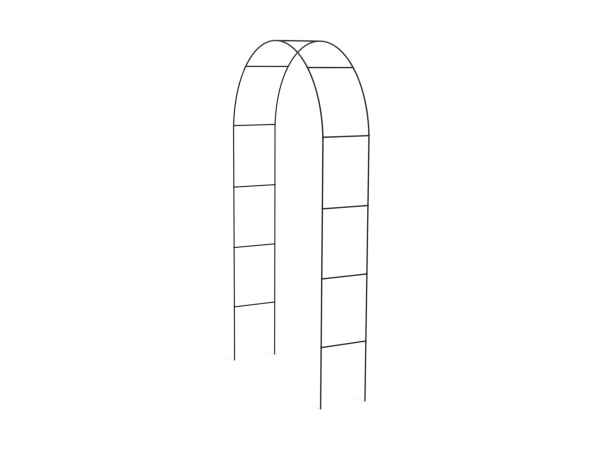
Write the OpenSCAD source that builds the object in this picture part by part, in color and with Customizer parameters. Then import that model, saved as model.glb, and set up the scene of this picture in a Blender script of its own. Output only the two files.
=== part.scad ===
// Garden arch: two round-headed hoops of thin steel tube, joined by cross rungs that climbing
// plants are trained on. Each hoop is a chain of short tubes. The top end of each tube is swaged
// down and plugs into the next one, and the screw that holds a rung also locks the joint.
// X runs across the walkway, Y through it and Z up. The origin is on the ground, mid-arch.

/* [Arch] */
// Ground to the first tube joint of each leg
foot_height = 395; // [200:5:600]
// Joint to joint, up the straight of each leg
tube_pitch = 475; // [300:5:600]
// Centre line of the half-round head
head_radius = 675; // [450:5:900]
// Hoop to hoop, between centre lines
hoop_spacing = 360; // [200:5:600]

/* [Tube] */
// Outside of every hoop tube and rung
tube_diameter = 12; // [8:0.5:16]
// Wall of every hoop tube and rung
tube_wall = 0.6; // [0.5:0.05:1]

/* [Slip joint] */
// Joint up to the cross hole through both tubes
hole_rise = 40; // [25:1:60]
// How far the swaged end runs on past that hole
swage_tip = 15; // [8:1:30]
// Gap all round between the swaged end and the tube over it
swage_clearance = 0.1; // [0.05:0.05:0.25]
// Length of the taper from full size down to the swaged end
neck_length = 3; // [2:0.5:8]

/* [Rung] */
// How far each rung end reaches round the hoop tube
saddle_depth = 1.5; // [0.5:0.25:3]
// Gap between the rung's saddle and the hoop tube
saddle_clearance = 0.1; // [0.05:0.05:0.3]
// Threaded slug pressed into each rung end
insert_length = 16; // [8:1:30]
// How far the slug sits behind the saddle
insert_setback = 0.5; // [0.25:0.25:2]
// Gap round the slug, a light press
insert_clearance = 0.02; // [0.01:0.01:0.05]

/* [Screw] */
// Thread size
screw_diameter = 4; // [3:0.5:5]
// How far the screw reaches into the slug
screw_bite = 14; // [6:1:25]
// Gap round the screw in the tubes' cross holes
hole_clearance = 0.15; // [0.1:0.05:0.4]
// Gap round the screw in the slug, in place of a thread
thread_clearance = 0.05; // [0.02:0.01:0.1]
// Width of the pan head
head_diameter = 8; // [6:0.5:10]
// Height of the pan head
head_height = 2.6; // [2:0.1:4]
// Height of the straight rim below the head's dome
head_rim = 0.9; // [0.5:0.1:1.5]
// Tip to tip of the cross recess
recess_span = 4.4; // [3:0.2:5]
// Width of each arm of the cross recess
recess_width = 0.9; // [0.6:0.1:1.2]
// Depth of the cross recess
recess_depth = 1.6; // [1:0.1:1.8]

/* [Hidden] */
HOOPS = ["front", "rear"];
SIDES = ["left", "right"];
LEG_PIECES = ["foot_tube", "lower_tube", "middle_tube", "upper_tube", "lower_bend", "upper_bend"];
SIDE_RUNGS = 5;

tube_r = tube_diameter / 2;
bore_r = tube_r - tube_wall;
swage_r = bore_r - swage_clearance;
hole_r = screw_diameter / 2 + hole_clearance;

// The neck's cone reaches the bore's radius at the joint itself, where the next tube seats on it.
swage_drop = tube_r - swage_r;
neck_slope = swage_drop / neck_length;
neck_below = tube_wall / neck_slope;
// The full-size bar runs on inside the swage by half a wall, so that nothing ends on its surface.
neck_reach = neck_length + tube_wall / 2 / neck_slope;

// Distances measured up a leg's centre line and on round the head
straight_tubes = 3;
spring_height = foot_height + straight_tubes * tube_pitch;
crown = spring_height + head_radius * PI / 2;
bend_length = (crown - hole_rise - spring_height) / 2;
joints = [
    for (i = [0 : straight_tubes]) foot_height + i * tube_pitch,
    spring_height + bend_length,
    crown - hole_rise
];
past_crown = crown + hole_rise;

rung_length = hoop_spacing - tube_diameter + 2 * saddle_depth;
rung_end = hoop_spacing / 2 - tube_r - saddle_clearance;
screw_length = tube_diameter + saddle_clearance + insert_setback + screw_bite;
// Radius of the dome that meets the rim of the pan head
dome_height = head_height - head_rim;
dome_r = (pow(head_diameter / 2, 2) + pow(dome_height, 2)) / (2 * dome_height);

overcut = 1;
tube_facets = 48;
head_facets = 360;
small_facets = 32;
coat = [0.17, 0.17, 0.18];
blackened = [0.11, 0.11, 0.12];
zinc = [0.72, 0.73, 0.74];

function tube_node(hoop, side, piece) = str(hoop, "_", side, "_", piece);
function rung_node(side, i) = str(side, "_rung_", i);

// Degrees turned round the head at a distance along the centre line
function turned(at) = (at - spring_height) / head_radius * 180 / PI;
// Where the screw and the rung of a joint sit
function station(i) = joints[i] + hole_rise;

// Stands its children on the right leg's centre line, with +Z along the tube.
module along(at) {
    if (at <= spring_height)
        translate([head_radius, 0, at]) children();
    else
        translate([0, 0, spring_height])
            rotate([0, -turned(at), 0])
                translate([head_radius, 0, 0]) children();
}

// A round bar that follows the right leg's centre line.
module bar(from, to, r) {
    if (from < spring_height)
        translate([head_radius, 0, min(to, spring_height)])
            mirror([0, 0, 1]) cylinder(h = min(to, spring_height) - from, r = r, $fn = tube_facets);
    if (to > spring_height) {
        start = turned(max(from, spring_height));
        translate([0, 0, spring_height])
            rotate([90, 0, 0])
                rotate([0, 0, start])
                    rotate_extrude(angle = turned(to) - start, $fn = head_facets)
                        translate([head_radius, 0]) circle(r = r, $fn = tube_facets);
    }
}

// A bar that necks down just below a joint and runs on, thinner, to its end.
module swaged_bar(from, joint, end, r) {
    neck = joint - neck_below;
    lead = 1;
    difference() {
        bar(from, neck + neck_reach, r);
        along(neck) rotate_extrude($fn = tube_facets) polygon([
            [r + lead * neck_slope, -lead],
            [r + tube_wall + lead, -lead],
            [r + tube_wall + lead, neck_reach + lead],
            [r - (neck_reach + lead) * neck_slope, neck_reach + lead]
        ]);
    }
    bar(neck + neck_length / 2, end, r - swage_drop);
}

// The hole for a rung's screw, right through the tubes at one place.
module cross_hole(at) {
    along(at) rotate([90, 0, 0])
        cylinder(h = tube_diameter + 2 * overcut, r = hole_r, center = true, $fn = small_facets);
}

// A tube with a plain lower end and a swaged upper end at the joint.
module swaged_tube(from, joint) {
    swage_end = joint + hole_rise + swage_tip;
    difference() {
        swaged_bar(from, joint, swage_end, tube_r);
        swaged_bar(from - overcut, joint, swage_end + overcut, bore_r);
        cross_hole(joint + hole_rise);
        if (from > 0)
            cross_hole(from + hole_rise);
    }
}

// A tube that is plain at both ends and crosses the crown to take the other side's swage.
module crown_tube(from) {
    difference() {
        bar(from, past_crown, tube_r);
        bar(from - overcut, past_crown + overcut, bore_r);
        cross_hole(from + hole_rise);
        cross_hole(crown);
    }
}

module foot_tube() {
    color(coat) swaged_tube(0, joints[0]);
}

module leg_tube(i) {
    color(coat) swaged_tube(joints[i - 1], joints[i]);
}

module lower_bend() {
    color(coat) swaged_tube(joints[3], joints[4]);
}

module upper_bend(side) {
    color(coat)
        if (side == "left")
            swaged_tube(joints[4], joints[5]);
        else
            crown_tube(joints[4]);
}

// A rung: a straight tube whose ends are scooped to sit on the hoop tubes.
module rung(at) {
    color(coat) along(at) difference() {
        rotate([90, 0, 0])
            cylinder(h = rung_length, r = tube_r, center = true, $fn = tube_facets);
        rotate([90, 0, 0])
            cylinder(h = rung_length + 2 * overcut, r = bore_r, center = true, $fn = tube_facets);
        for (end = [-1, 1])
            translate([0, end * hoop_spacing / 2, 0])
                cylinder(h = tube_diameter + 2 * overcut, r = tube_r + saddle_clearance,
                    center = true, $fn = tube_facets);
    }
}

// Repeats its children at both ends of the rung at one place, with +Z outward.
module rung_ends(at, distance) {
    along(at)
        for (end = [-1, 1])
            translate([0, end * distance, 0]) rotate([-end * 90, 0, 0]) children();
}

// The threaded slugs inside a rung's two ends.
module rung_inserts(at) {
    color(zinc) rung_ends(at, rung_end - insert_setback - insert_length)
        difference() {
            cylinder(h = insert_length, r = bore_r - insert_clearance, $fn = tube_facets);
            translate([0, 0, -overcut])
                cylinder(h = insert_length + 2 * overcut, r = screw_diameter / 2 + thread_clearance,
                    $fn = small_facets);
        }
}

// The pan-head screws that enter a rung's two ends through the hoops.
module rung_screws(at) {
    color(blackened) rung_ends(at, hoop_spacing / 2 + tube_r) {
        translate([0, 0, -screw_length])
            cylinder(h = screw_length + head_rim, r = screw_diameter / 2, $fn = small_facets);
        difference() {
            intersection() {
                cylinder(h = head_height, r = head_diameter / 2, $fn = small_facets);
                translate([0, 0, head_height - dome_r]) sphere(r = dome_r, $fn = tube_facets * 2);
            }
            for (arm = [0, 90])
                rotate([0, 0, arm])
                    translate([-recess_span / 2, -recess_width / 2, head_height - recess_depth])
                        cube([recess_span, recess_width, recess_depth + overcut]);
        }
    }
}

// Puts a piece drawn on the right leg on either leg, and in either hoop.
module on_side(side) {
    mirror([side == "left" ? 1 : 0, 0, 0]) children();
}
module in_hoop(hoop) {
    translate([0, (hoop == "front" ? -1 : 1) * hoop_spacing / 2, 0]) children();
}

module leg_piece(piece, side) {
    if (piece == "foot_tube") foot_tube();
    if (piece == "lower_tube") leg_tube(1);
    if (piece == "middle_tube") leg_tube(2);
    if (piece == "upper_tube") leg_tube(3);
    if (piece == "lower_bend") lower_bend();
    if (piece == "upper_bend") upper_bend(side);
}

for (hoop = HOOPS, side = SIDES, piece = LEG_PIECES)
    in_hoop(hoop) on_side(side) leg_piece(piece, side);

for (side = SIDES, i = [1 : SIDE_RUNGS])
    on_side(side) rung(station(i - 1));
rung(crown);  // top_rung

for (side = SIDES) {
    for (i = [1 : SIDE_RUNGS]) on_side(side) rung_inserts(station(i - 1));
    for (i = [1 : SIDE_RUNGS]) on_side(side) rung_screws(station(i - 1));
}
rung_inserts(crown);  // top_rung_inserts
rung_screws(crown);  // top_rung_screws
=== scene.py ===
import math
from types import SimpleNamespace

import bpy
from mathutils import Matrix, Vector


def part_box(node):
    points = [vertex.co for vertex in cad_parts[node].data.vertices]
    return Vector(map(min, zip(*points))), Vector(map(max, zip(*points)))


# Lengths are in metres and angles in degrees, but the lens and its sensor are in millimetres.
CAMERA_LENS = 63.366
SENSOR_WIDTH = 36.0
CAMERA_PLACE = (6.656, -3.713, 2.367)
CAMERA_YAW = -60.65
CAMERA_PITCH = -8.93
CAMERA_ROLL = 0.31
# A tube is under two pixels wide in the picture, so the pixel filter is a little narrower than usual.
PIXEL_FILTER = 1.2

# Softness is a lamp's width in the sky, and yaw turns from +X towards +Y.
SUNS = {
    "key": {"strength": 1.5, "softness": 30.0, "height": 50.0, "yaw": 15.0},
    "fill": {"strength": 0.6, "softness": 60.0, "height": 35.0, "yaw": -100.0},
    "rim": {"strength": 0.3, "softness": 60.0, "height": 30.0, "yaw": 150.0},
}
WHITE = (1, 1, 1, 1)
ROOM_LIGHT = 0.40
BACKDROP_LIGHT = 1.0
FLOOR_SIZE = 400.0
FLOOR_COLOUR = (0.8, 0.8, 0.8, 1)
# Added to the floor's lit colour where it is seen, which brings it up to white
FLOOR_LIFT = 0.30

# Scale, detail and roughness of each noise
COAT_CLOUDS = (9.0, 3.0, 0.55)
COAT_MOTTLE = (160.0, 3.0, 0.6)
COAT_SCUFFS = (900.0, 4.0, 0.65)
COAT_PEEL = (720.0, 1.0, 0.5)
COAT_GRAIN = (2600.0, 2.0, 0.5)
SCREW_MOTTLE = (420.0, 3.0, 0.6)
SCREW_SCUFFS = (1700.0, 3.0, 0.6)
ZINC_MOTTLE = (500.0, 3.0, 0.6)

COAT_DEEP = (0.0075, 0.0075, 0.0081, 1)
COAT_SOFT = (0.0117, 0.0117, 0.0122, 1)
COAT_PALE = (0.0176, 0.0176, 0.0179, 1)
COAT_SPECK = (0.0215, 0.0215, 0.0218, 1)
COAT_WORN = (0.090, 0.087, 0.083, 1)
DUST = (0.150, 0.140, 0.122, 1)
SOIL = (0.105, 0.078, 0.052, 1)
STEEL_DARK = (0.160, 0.150, 0.138, 1)
STEEL_PALE = (0.270, 0.265, 0.258, 1)
SCREW_BLACK = (0.0130, 0.0130, 0.0140, 1)
SCREW_BROWN = (0.0280, 0.0265, 0.0255, 1)
SCREW_WORN = (0.230, 0.225, 0.215, 1)
ZINC_DARK = (0.50, 0.51, 0.53, 1)
ZINC_PALE = (0.70, 0.70, 0.67, 1)

# How much of something there is where a noise is at start and at end: the least and the most of it, or
# none and all where they aren't given
CLOUDS_SHOW = {"start": 0.35, "end": 0.65}
MOTTLE_SHOWS = {"start": 0.45, "end": 0.75, "most": 0.5}
SPECKS_SHOW = {"start": 0.60, "end": 0.75, "most": 0.4}
DUST_LIES = {"start": 0.35, "end": 0.70, "least": 0.013, "most": 0.085}
SOIL_CLINGS = {"start": 0.35, "end": 0.65, "least": 0.15}
COAT_WEARS = {"start": 0.38, "end": 0.62}
STEEL_MIX = {"start": 0.35, "end": 0.65}
SCREW_MIX = {"start": 0.35, "end": 0.70}
SCREW_WEARS = {"start": 0.42, "end": 0.66, "most": 0.7}
# The same for how far a surface faces up, which is 0 on a wall and 1 on a floor
UP_HOLDS_DUST = {"start": 0.2, "end": 1.0}

# Roughness, from its least to its most where a surface is mottled
COAT_ROUGH = {"start": 0.3, "end": 0.7, "least": 0.42, "most": 0.52}
SCREW_ROUGH = {"start": 0.3, "end": 0.7, "least": 0.32, "most": 0.46}
ZINC_ROUGH = {"start": 0.3, "end": 0.7, "least": 0.25, "most": 0.40}
WORN_ROUGH = 0.33
DUSTY_ROUGH = 0.95
STEEL_ROUGH = 0.55
SCREW_WORN_ROUGH = 0.26

COAT_GLOSS = 0.2
STEEL_METAL = 0.85
SCREW_METAL = 0.7
ZINC_METAL = 1.0

# Bumps: a strength and a height
COAT_BUMP = (0.5, 0.00015)
METAL_BUMP = (0.3, 0.00005)
# What the grain adds to the peel's height and what wear takes off it, as shares of that height
GRAIN_ON_PEEL = 0.25
WORN_FLAT = 0.5
# The rings on a turned slug
RING_SCALE = 600.0
RING_DISTORTION = 0.4

# Wear: as much as "most" out to one distance, fading to none at another
RIM_WEAR = {"full": 0.0004, "gone": 0.0022, "most": 0.9}
HANDLING_WEAR = {"full": 0.002, "gone": 0.040, "most": 0.10}
SCREW_RING_WEAR = {"full": 0.0041, "gone": 0.0056, "most": 0.45}
FOOT_TIP_WEAR = {"full": 0.0008, "gone": 0.0060, "most": 1.0}
FOOT_SOIL = {"full": 0.0, "gone": 0.075, "most": 0.35}
RECESS_WEAR = {"full": 0.0024, "gone": 0.0034, "most": 1.0}
# The same past the hoop tube's surface
SADDLE_WEAR = {"full": 0.0003, "gone": 0.0018, "most": 0.9}
# Past that surface too: where a screw head's dome starts to be rubbed, and where it is rubbed most
DOME_START = 0.0012
DOME_TOP = 0.0024
# A hoop tube's inside faces its centre line, and its bare steel fades in this far from that line.
HOOP_BARE_START = 0.0004
HOOP_BARE_FULL = 0.0020
# A rung's bare steel fades in this deep under its outside.
RUNG_BARE_START = 0.0003
RUNG_BARE_FULL = 0.0005

# A Mix node has sockets of its own for each kind of value, and these are their places on it.
NUMBER_A, NUMBER_B, NUMBER_RESULT = 2, 3, 0
COLOUR_A, COLOUR_B, COLOUR_RESULT = 6, 7, 2

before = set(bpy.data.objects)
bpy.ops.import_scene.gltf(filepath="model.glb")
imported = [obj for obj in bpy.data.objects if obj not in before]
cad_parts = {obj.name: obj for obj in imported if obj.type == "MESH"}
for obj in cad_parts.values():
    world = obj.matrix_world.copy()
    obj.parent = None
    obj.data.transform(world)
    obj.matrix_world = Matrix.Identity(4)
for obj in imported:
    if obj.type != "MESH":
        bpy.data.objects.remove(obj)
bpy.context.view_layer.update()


# ---------------------------------------------------------------------------------------------
# Places on the arch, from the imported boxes. "Along" is the way up a hoop's centre line from the
# ground, on up the leg and round the head.

def middle(node):
    low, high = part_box(node)
    return (low + high) / 2


foot_low, foot_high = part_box("front_left_foot_tube")
TUBE_RADIUS = (foot_high.x - foot_low.x) / 2
HOOP_Y = abs(middle("front_left_foot_tube").y)
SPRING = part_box("front_left_lower_bend")[0].z
HEAD_RADIUS = middle("top_rung").z - SPRING
CROWN = SPRING + HEAD_RADIUS * math.pi / 2

STRAIGHT_JOINTS = [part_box("front_left_" + piece)[0].z
                   for piece in ("lower_tube", "middle_tube", "upper_tube", "lower_bend")]
HOLE_RISE = middle("right_rung_1").z - STRAIGHT_JOINTS[0]
shoulder = middle("right_rung_5")
SHOULDER_JOINT = SPRING + HEAD_RADIUS * math.atan2(shoulder.z - SPRING, shoulder.x) - HOLE_RISE
CROWN_JOINT = CROWN - HOLE_RISE
STATIONS = [joint + HOLE_RISE for joint in STRAIGHT_JOINTS + [SHOULDER_JOINT, CROWN_JOINT]]


# ---------------------------------------------------------------------------------------------
# Node helpers

def add(tree, kind, inputs=None, **settings):
    """Adds a node, sets its properties, and links or writes its input sockets."""
    made = tree.nodes.new(kind)
    for name, value in settings.items():
        setattr(made, name, value)
    for name, value in (inputs or {}).items():
        socket = made.inputs[name]
        if isinstance(value, bpy.types.NodeSocket):
            tree.links.new(value, socket)
        else:
            socket.default_value = value
    return made


def maths(tree, operation, *values):
    return add(tree, "ShaderNodeMath", dict(enumerate(values)), operation=operation).outputs[0]


def product(tree, first, second):
    return maths(tree, "MULTIPLY", first, second)


def largest(tree, first, *others):
    for value in others:
        first = maths(tree, "MAXIMUM", first, value)
    return first


def diagonal(tree, first, second):
    """The length of the diagonal of a rectangle with these two sides."""
    squares = maths(tree, "MULTIPLY_ADD", first, first, product(tree, second, second))
    return maths(tree, "SQRT", squares)


def ease(tree, value, start, end, least=0.0, most=1.0):
    """Goes smoothly from least to most while the value goes from start to end."""
    inputs = {"Value": value, "From Min": start, "From Max": end, "To Min": least, "To Max": most}
    return add(tree, "ShaderNodeMapRange", inputs, interpolation_type="SMOOTHSTEP").outputs["Result"]


def close_to(tree, gap, full, gone, most):
    """As much as most while a gap is under full, fading to none where it reaches gone."""
    return ease(tree, gap, full, gone, most, 0.0)


def noise(tree, place, scale, detail, roughness):
    inputs = {"Vector": place, "Scale": scale, "Detail": detail, "Roughness": roughness}
    return add(tree, "ShaderNodeTexNoise", inputs).outputs["Fac"]


def mix_numbers(tree, factor, first, second):
    inputs = {"Factor": factor, NUMBER_A: first, NUMBER_B: second}
    return add(tree, "ShaderNodeMix", inputs, data_type="FLOAT").outputs[NUMBER_RESULT]


def mix_colours(tree, factor, first, second):
    inputs = {"Factor": factor, COLOUR_A: first, COLOUR_B: second}
    return add(tree, "ShaderNodeMix", inputs, data_type="RGBA").outputs[COLOUR_RESULT]


def bump(tree, height, strength, distance):
    inputs = {"Height": height, "Strength": strength, "Distance": distance}
    return add(tree, "ShaderNodeBump", inputs).outputs["Normal"]


def split(tree, vector):
    return add(tree, "ShaderNodeSeparateXYZ", {"Vector": vector}).outputs


def new_material(name):
    material = bpy.data.materials.new(name)
    material.use_nodes = True
    material.node_tree.nodes.clear()
    return material, material.node_tree


def surface_point(tree):
    return add(tree, "ShaderNodeTexCoord").outputs["Object"]


def end_in_surface(tree, inputs):
    shader = add(tree, "ShaderNodeBsdfPrincipled", inputs)
    add(tree, "ShaderNodeOutputMaterial", {"Surface": shader.outputs["BSDF"]})


# ---------------------------------------------------------------------------------------------
# Masks

def nearest(tree, value, places):
    """How far a value is from the nearest of some places."""
    gaps = [maths(tree, "ABSOLUTE", maths(tree, "SUBTRACT", value, place)) for place in places]
    found = gaps[0]
    for gap in gaps[1:]:
        found = maths(tree, "MINIMUM", found, gap)
    return found


def hoop_places(tree, place):
    """For a point on the arch: its height over the spring line (rise), its reach from the head's centre
    or, on a leg, from the arch's middle, the way along the hoop's centre line, and the way off that line
    in the hoop's plane (across) and out of it (outward, away from the other hoop)."""
    x, y, z = split(tree, place)
    rise = maths(tree, "MAXIMUM", maths(tree, "SUBTRACT", z, SPRING), 0.0)
    angle = maths(tree, "ARCTAN2", rise, maths(tree, "ABSOLUTE", x))
    reach = diagonal(tree, x, rise)
    return SimpleNamespace(
        x=x, y=y, rise=rise, reach=reach,
        along=maths(tree, "MULTIPLY_ADD", angle, HEAD_RADIUS, maths(tree, "MINIMUM", z, SPRING)),
        across=maths(tree, "SUBTRACT", reach, HEAD_RADIUS),
        outward=maths(tree, "SUBTRACT", maths(tree, "ABSOLUTE", y), HOOP_Y))


def joint_gap(tree, at):
    """How far a point is from the nearest plug joint. The one at the crown is on the left only, so on
    the right a metre is added to its gap."""
    evenly = nearest(tree, at.along, STRAIGHT_JOINTS + [SHOULDER_JOINT])
    crown = nearest(tree, at.along, [CROWN_JOINT])
    on_right = maths(tree, "GREATER_THAN", at.x, 0.0)
    return maths(tree, "MINIMUM", evenly, maths(tree, "ADD", crown, on_right))


def screw_gap(tree, at):
    """How far a point is from the nearest screw's axis."""
    return diagonal(tree, nearest(tree, at.along, STATIONS), at.across)


def line_gap(tree, at):
    """How far a point is from the hoop's centre line."""
    return diagonal(tree, at.across, at.outward)


def hoop_bore(tree, at):
    """1 inside a hoop tube, where the surface faces the tube's centre line, and 0 outside."""
    normal = split(tree, add(tree, "ShaderNodeNewGeometry").outputs["True Normal"])
    turned = maths(tree, "MULTIPLY_ADD", normal[0], at.x, product(tree, normal[2], at.rise))
    in_plane = maths(tree, "DIVIDE", turned, at.reach)
    sideways = product(tree, normal[1], maths(tree, "SIGN", at.y))
    away = maths(tree, "MULTIPLY_ADD", in_plane, at.across, product(tree, sideways, at.outward))
    inward = ease(tree, away, -HOOP_BARE_START, -HOOP_BARE_FULL)
    return product(tree, inward, maths(tree, "LESS_THAN", line_gap(tree, at), TUBE_RADIUS))


def rung_bore(tree, at):
    """1 inside a rung and 0 outside."""
    return ease(tree, screw_gap(tree, at), TUBE_RADIUS - RUNG_BARE_START, TUBE_RADIUS - RUNG_BARE_FULL)


# ---------------------------------------------------------------------------------------------
# Materials

def powder_coat(tree, place, rubbed, bare, soiled=None):
    """Satin black powder coat: cloudy and mottled black, orange peel, a little dust on what faces up,
    rubbed places that are paler and smoother, and dried soil where a leg stands. Where it is bare,
    inside a tube that the powder doesn't reach, the steel shows."""
    clouds = noise(tree, place, *COAT_CLOUDS)
    mottle = noise(tree, place, *COAT_MOTTLE)
    scuffs = noise(tree, place, *COAT_SCUFFS)
    peel = noise(tree, place, *COAT_PEEL)
    grain = noise(tree, place, *COAT_GRAIN)

    colour = mix_colours(tree, ease(tree, clouds, **CLOUDS_SHOW), COAT_DEEP, COAT_SOFT)
    colour = mix_colours(tree, ease(tree, mottle, **MOTTLE_SHOWS), colour, COAT_PALE)
    colour = mix_colours(tree, ease(tree, grain, **SPECKS_SHOW), colour, COAT_SPECK)

    facing_up = split(tree, add(tree, "ShaderNodeNewGeometry").outputs["Normal"])[2]
    dust = ease(tree, mottle, **DUST_LIES)
    dull = product(tree, ease(tree, facing_up, **UP_HOLDS_DUST), dust)
    colour = mix_colours(tree, dull, colour, DUST)
    if soiled is not None:
        soil = product(tree, soiled, ease(tree, scuffs, **SOIL_CLINGS))
        colour = mix_colours(tree, soil, colour, SOIL)
        dull = largest(tree, dull, soil)

    worn = product(tree, rubbed, ease(tree, scuffs, **COAT_WEARS))
    colour = mix_colours(tree, worn, colour, COAT_WORN)
    steel = mix_colours(tree, ease(tree, scuffs, **STEEL_MIX), STEEL_DARK, STEEL_PALE)
    colour = mix_colours(tree, bare, colour, steel)

    rough = ease(tree, mottle, **COAT_ROUGH)
    rough = mix_numbers(tree, worn, rough, WORN_ROUGH)
    rough = mix_numbers(tree, dull, rough, DUSTY_ROUGH)
    rough = mix_numbers(tree, bare, rough, STEEL_ROUGH)

    skin = maths(tree, "MULTIPLY_ADD", grain, GRAIN_ON_PEEL, peel)
    height = maths(tree, "SUBTRACT", skin, product(tree, worn, WORN_FLAT))
    end_in_surface(tree, {
        "Base Color": colour,
        "Roughness": rough,
        "Metallic": product(tree, bare, STEEL_METAL),
        "Normal": bump(tree, height, *COAT_BUMP),
        "Specular IOR Level": COAT_GLOSS,
    })


def hoop_coat():
    """The hoops' coat, rubbed at the rims of the plug joints and round the screw heads."""
    material, tree = new_material("hoop_powder_coat")
    place = surface_point(tree)
    at = hoop_places(tree, place)
    joint = joint_gap(tree, at)
    ring = close_to(tree, screw_gap(tree, at), **SCREW_RING_WEAR)
    rubbed = largest(
        tree,
        close_to(tree, joint, **RIM_WEAR),
        close_to(tree, joint, **HANDLING_WEAR),
        product(tree, ring, maths(tree, "GREATER_THAN", at.outward, 0.0)),
        close_to(tree, at.along, **FOOT_TIP_WEAR))
    soiled = close_to(tree, at.along, **FOOT_SOIL)
    powder_coat(tree, place, rubbed, hoop_bore(tree, at), soiled)
    return material


def rung_coat():
    """The rungs' coat, rubbed at the rims of the saddles that sit on the hoops."""
    material, tree = new_material("rung_powder_coat")
    place = surface_point(tree)
    at = hoop_places(tree, place)
    off_tube = maths(tree, "SUBTRACT", line_gap(tree, at), TUBE_RADIUS)
    rubbed = close_to(tree, off_tube, **SADDLE_WEAR)
    powder_coat(tree, place, rubbed, rung_bore(tree, at))
    return material


def screw_finish():
    """Blackened steel: a dark skin that is rubbed on the dome and round the driver recess."""
    material, tree = new_material("blackened_steel")
    place = surface_point(tree)
    at = hoop_places(tree, place)
    mottle = noise(tree, place, *SCREW_MOTTLE)
    scuffs = noise(tree, place, *SCREW_SCUFFS)
    dome = product(
        tree,
        ease(tree, at.outward, TUBE_RADIUS + DOME_START, TUBE_RADIUS + DOME_TOP),
        close_to(tree, screw_gap(tree, at), **RECESS_WEAR))
    worn = product(tree, dome, ease(tree, scuffs, **SCREW_WEARS))
    skin = mix_colours(tree, ease(tree, mottle, **SCREW_MIX), SCREW_BLACK, SCREW_BROWN)
    end_in_surface(tree, {
        "Base Color": mix_colours(tree, worn, skin, SCREW_WORN),
        "Roughness": mix_numbers(tree, worn, ease(tree, mottle, **SCREW_ROUGH), SCREW_WORN_ROUGH),
        "Metallic": SCREW_METAL,
        "Normal": bump(tree, scuffs, *METAL_BUMP),
    })
    return material


def slug_finish():
    """Zinc-plated slugs, with the fine rings of a turned bar."""
    material, tree = new_material("zinc_plated_steel")
    place = surface_point(tree)
    mottle = noise(tree, place, *ZINC_MOTTLE)
    wave = {"Vector": place, "Scale": RING_SCALE, "Distortion": RING_DISTORTION}
    rings = add(tree, "ShaderNodeTexWave", wave, wave_type="BANDS", bands_direction="Y").outputs["Fac"]
    end_in_surface(tree, {
        "Base Color": mix_colours(tree, mottle, ZINC_DARK, ZINC_PALE),
        "Roughness": ease(tree, mottle, **ZINC_ROUGH),
        "Metallic": ZINC_METAL,
        "Normal": bump(tree, rings, *METAL_BUMP),
    })
    return material


HOOP_COAT = hoop_coat()
RUNG_COAT = rung_coat()
FINISHES = {"black_screw": screw_finish(), "zinc_plate": slug_finish()}
for node_name, node_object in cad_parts.items():
    coat = RUNG_COAT if "_rung" in node_name else HOOP_COAT
    for material_slot in node_object.material_slots:
        material_slot.material = FINISHES.get(material_slot.material.name, coat)


# ---------------------------------------------------------------------------------------------
# Studio

def seen_ray(tree):
    """1 for what the camera sees directly, in a reflection or through glass, 0 for light on the object."""
    path = add(tree, "ShaderNodeLightPath").outputs
    return largest(tree, path["Is Camera Ray"], path["Is Glossy Ray"], path["Is Transmission Ray"])


def new_object(name, data):
    made = bpy.data.objects.new(name, data)
    bpy.context.scene.collection.objects.link(made)
    return made


def make_world():
    world = bpy.data.worlds.new("studio")
    world.use_nodes = True
    tree = world.node_tree
    tree.nodes.clear()
    room = add(tree, "ShaderNodeBackground", {"Color": WHITE, "Strength": ROOM_LIGHT})
    backdrop = add(tree, "ShaderNodeBackground", {"Color": WHITE, "Strength": BACKDROP_LIGHT})
    mixed = add(tree, "ShaderNodeMixShader", {0: seen_ray(tree), 1: room.outputs[0], 2: backdrop.outputs[0]})
    add(tree, "ShaderNodeOutputWorld", {"Surface": mixed.outputs[0]})
    bpy.context.scene.world = world


def make_floor():
    material, tree = new_material("studio_floor")
    matt = add(tree, "ShaderNodeBsdfDiffuse", {"Color": FLOOR_COLOUR})
    lift = product(tree, seen_ray(tree), FLOOR_LIFT)
    glow = add(tree, "ShaderNodeEmission", {"Color": WHITE, "Strength": lift})
    both = add(tree, "ShaderNodeAddShader", {0: matt.outputs[0], 1: glow.outputs[0]})
    add(tree, "ShaderNodeOutputMaterial", {"Surface": both.outputs[0]})

    half = FLOOR_SIZE / 2
    corners = [(-half, -half, 0), (half, -half, 0), (half, half, 0), (-half, half, 0)]
    mesh = bpy.data.meshes.new("floor")
    mesh.from_pydata(corners, [], [(0, 1, 2, 3)])
    mesh.materials.append(material)
    floor = new_object("floor", mesh)


def make_sun(name, strength, softness, height, yaw):
    """A distant soft lamp, at an angle above the floor."""
    lamp = bpy.data.lights.new(name, "SUN")
    lamp.energy = strength
    lamp.angle = math.radians(softness)
    new_object(name, lamp).rotation_euler = (0, math.radians(90 - height), math.radians(yaw))


def make_camera():
    camera = bpy.data.cameras.new("camera")
    camera.sensor_width = SENSOR_WIDTH
    camera.lens = CAMERA_LENS
    camera.clip_end = 2 * FLOOR_SIZE
    holder = new_object("camera", camera)
    turn = Matrix.Rotation(math.radians(-CAMERA_YAW), 4, "Z")
    tilt = Matrix.Rotation(math.radians(90 + CAMERA_PITCH), 4, "X")
    roll = Matrix.Rotation(math.radians(CAMERA_ROLL), 4, "Z")
    holder.matrix_world = Matrix.Translation(CAMERA_PLACE) @ turn @ tilt @ roll
    bpy.context.scene.camera = holder


make_world()
make_floor()
for sun_name, sun_settings in SUNS.items():
    make_sun(sun_name, **sun_settings)
make_camera()
bpy.context.scene.view_settings.view_transform = "Standard"
bpy.context.scene.cycles.filter_width = PIXEL_FILTER
